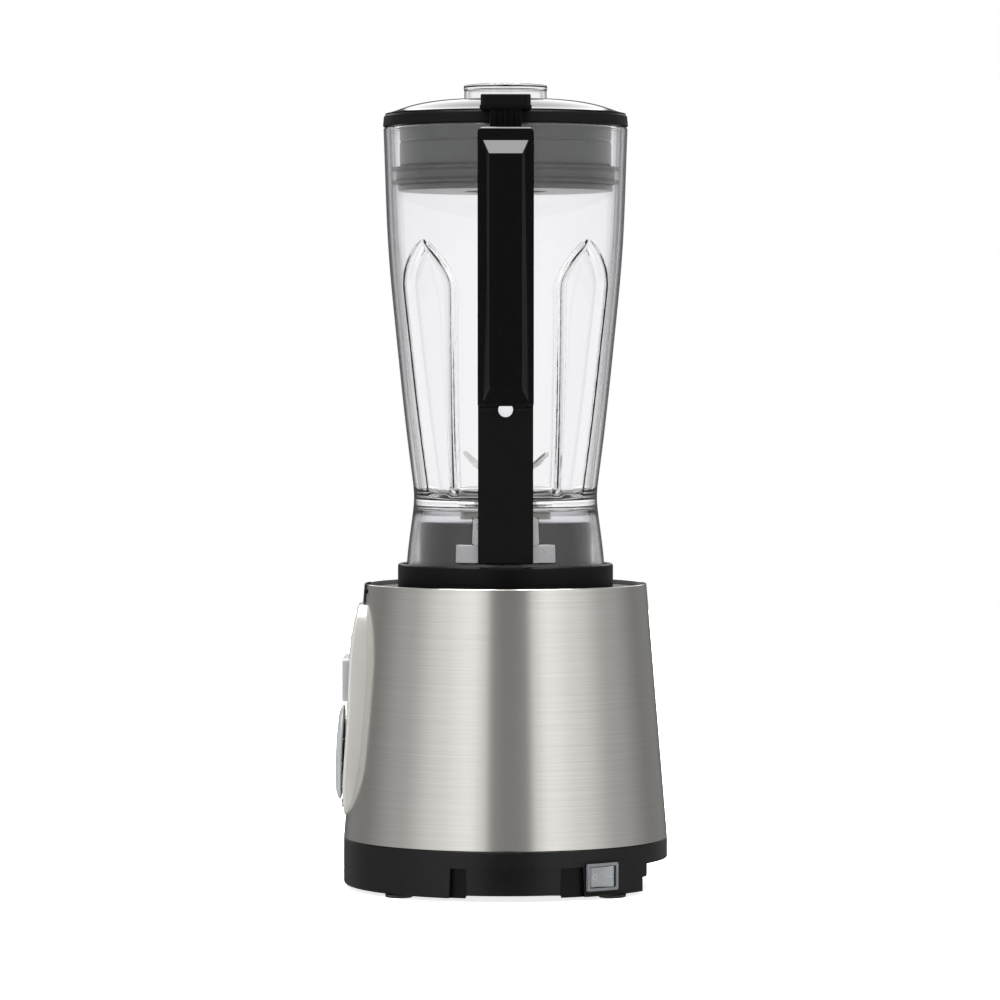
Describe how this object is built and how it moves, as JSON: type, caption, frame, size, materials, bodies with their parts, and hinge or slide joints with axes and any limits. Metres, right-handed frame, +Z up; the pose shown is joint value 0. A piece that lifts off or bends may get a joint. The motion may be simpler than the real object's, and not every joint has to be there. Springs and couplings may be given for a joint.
{
  "type": "countertop blender",
  "caption": "Countertop blender: steel motor base with knob, keys and rocker switch, tall clear jug with loop handle, black lid and clear measuring cup.",
  "frame": {"origin": "middle of the bounding box's bottom, on the table plane under the feet; the drive axis stands 13.7 mm towards -X and 2.1 mm towards +Y of it", "axes": "+Z up along the drive axis, control panel towards -Y, handle towards +X"},
  "size_m": [0.2071, 0.1844, 0.4443],
  "materials": {
    "brushed_steel": "satin brushed round the base",
    "bright_steel": "bright turned or polished steel",
    "laminated_steel": "satin laminations",
    "copper": "lacquered copper",
    "satin_black": "satin moulded, fine grain",
    "gloss_black": "high gloss moulded",
    "plug_grey": "soft satin",
    "black_rubber": "matte",
    "silver_plastic": "silver lacquered, gloss",
    "light_grey_plastic": "light grey, half gloss",
    "clear_plastic": "clear, polished",
    "clear_grey_plastic": "translucent grey",
    "lamp_lens": "frosted clear",
    "green_board": "lacquered board",
    "pale_nylon": "satin moulded nylon",
    "carbon": "dull pressed carbon"
  },
  "bodies": {
    "base": {"steel_shell": "brushed_steel", "bottom_housing": "satin_black", "base_screw_front": "bright_steel", "base_screw_rear": "bright_steel", "foot_rear_right": "black_rubber", "foot_front_right": "black_rubber", "foot_rear_left": "black_rubber", "foot_front_left": "black_rubber", "top_deck": "satin_black", "jug_seat": "satin_black", "cord_inlet": "black_rubber", "control_panel": "silver_plastic", "indicator_lens": "lamp_lens", "control_board": "green_board", "speed_encoder": "bright_steel", "power_switch_body": "satin_black", "stator_core": "laminated_steel", "field_coil_left": "copper", "field_coil_right": "copper", "motor_bracket_lower": "pale_nylon", "motor_bracket_upper": "pale_nylon", "bearing_lower": "bright_steel", "bearing_upper": "bright_steel", "motor_mount_ring": "black_rubber", "motor_bolt_front": "bright_steel", "motor_bolt_rear": "bright_steel", "brush_holder_front": "pale_nylon", "brush_holder_rear": "pale_nylon", "carbon_brush_front": "carbon", "carbon_brush_rear": "carbon"},
    "motor": {"motor_shaft": "bright_steel", "commutator": "copper", "armature": "laminated_steel", "cooling_fan": "pale_nylon", "drive_coupling": "black_rubber"},
    "jug": {"jug": "clear_plastic", "handle_frame": "satin_black", "handle_cover": "gloss_black", "handle_inlay": "gloss_black", "handle_screw_lower": "bright_steel", "handle_screw_upper": "bright_steel", "blade_housing": "bright_steel", "blade_gasket": "black_rubber", "blade_retaining_nut": "pale_nylon"},
    "blades": {"blade_shaft": "bright_steel", "blade_lower": "bright_steel", "blade_upper": "bright_steel", "blade_cap_nut": "bright_steel", "driven_coupling": "bright_steel"},
    "lid": {"lid_cover": "gloss_black", "lid_rim": "satin_black", "lid_plug": "plug_grey", "lid_gasket": "plug_grey", "lid_tab": "satin_black"},
    "cup": {"measuring_cup": "clear_plastic"},
    "speed_knob": {"speed_knob": "light_grey_plastic"},
    "power_rocker": {"power_rocker": "clear_grey_plastic"},
    "key_low": {"key_low": "light_grey_plastic"},
    "key_pulse": {"key_pulse": "light_grey_plastic"},
    "key_high": {"key_high": "light_grey_plastic"}
  },
  "joints": [
    {"name": "motor_spin", "type": "hinge", "parent": "base", "child": "motor", "pos_m": [-0.01373, 0.00215, 0.1], "axis": [0, 0, 1], "continuous": true},
    {"name": "jug_lift", "type": "slide", "parent": "base", "child": "jug", "axis": [0, 0, 1], "range_m": [0, 0.09]},
    {"name": "blade_spin", "type": "hinge", "parent": "jug", "child": "blades", "pos_m": [-0.01373, 0.00215, 0.22], "axis": [0, 0, 1], "continuous": true},
    {"name": "lid_lift", "type": "slide", "parent": "jug", "child": "lid", "axis": [0, 0, 1], "range_m": [0, 0.11]},
    {"name": "cup_lift", "type": "slide", "parent": "lid", "child": "cup", "axis": [0, 0, 1], "range_m": [0, 0.07]},
    {"name": "speed_turn", "type": "hinge", "parent": "base", "child": "speed_knob", "pos_m": [-0.01373, -0.08735, 0.0747], "axis": [0, -0.9991, 0.042], "range_deg": [0, 270]},
    {"name": "power_rock", "type": "hinge", "parent": "base", "child": "power_rocker", "pos_m": [0.05536, 0.05252, 0.0125], "axis": [0, 0, 1], "range_deg": [0, 17.2]},
    {"name": "key_low_press", "type": "slide", "parent": "base", "child": "key_low", "axis": [0, 1, 0], "range_m": [0, 0.0015], "stiffness_N_per_m": 400},
    {"name": "key_pulse_press", "type": "slide", "parent": "base", "child": "key_pulse", "axis": [0, 1, 0], "range_m": [0, 0.0015], "stiffness_N_per_m": 400},
    {"name": "key_high_press", "type": "slide", "parent": "base", "child": "key_high", "axis": [0, 1, 0], "range_m": [0, 0.0015], "stiffness_N_per_m": 400}
  ],
  "couplings": [
    {"joint": "blade_spin", "follows": "motor_spin", "ratio": 1}
  ]
}
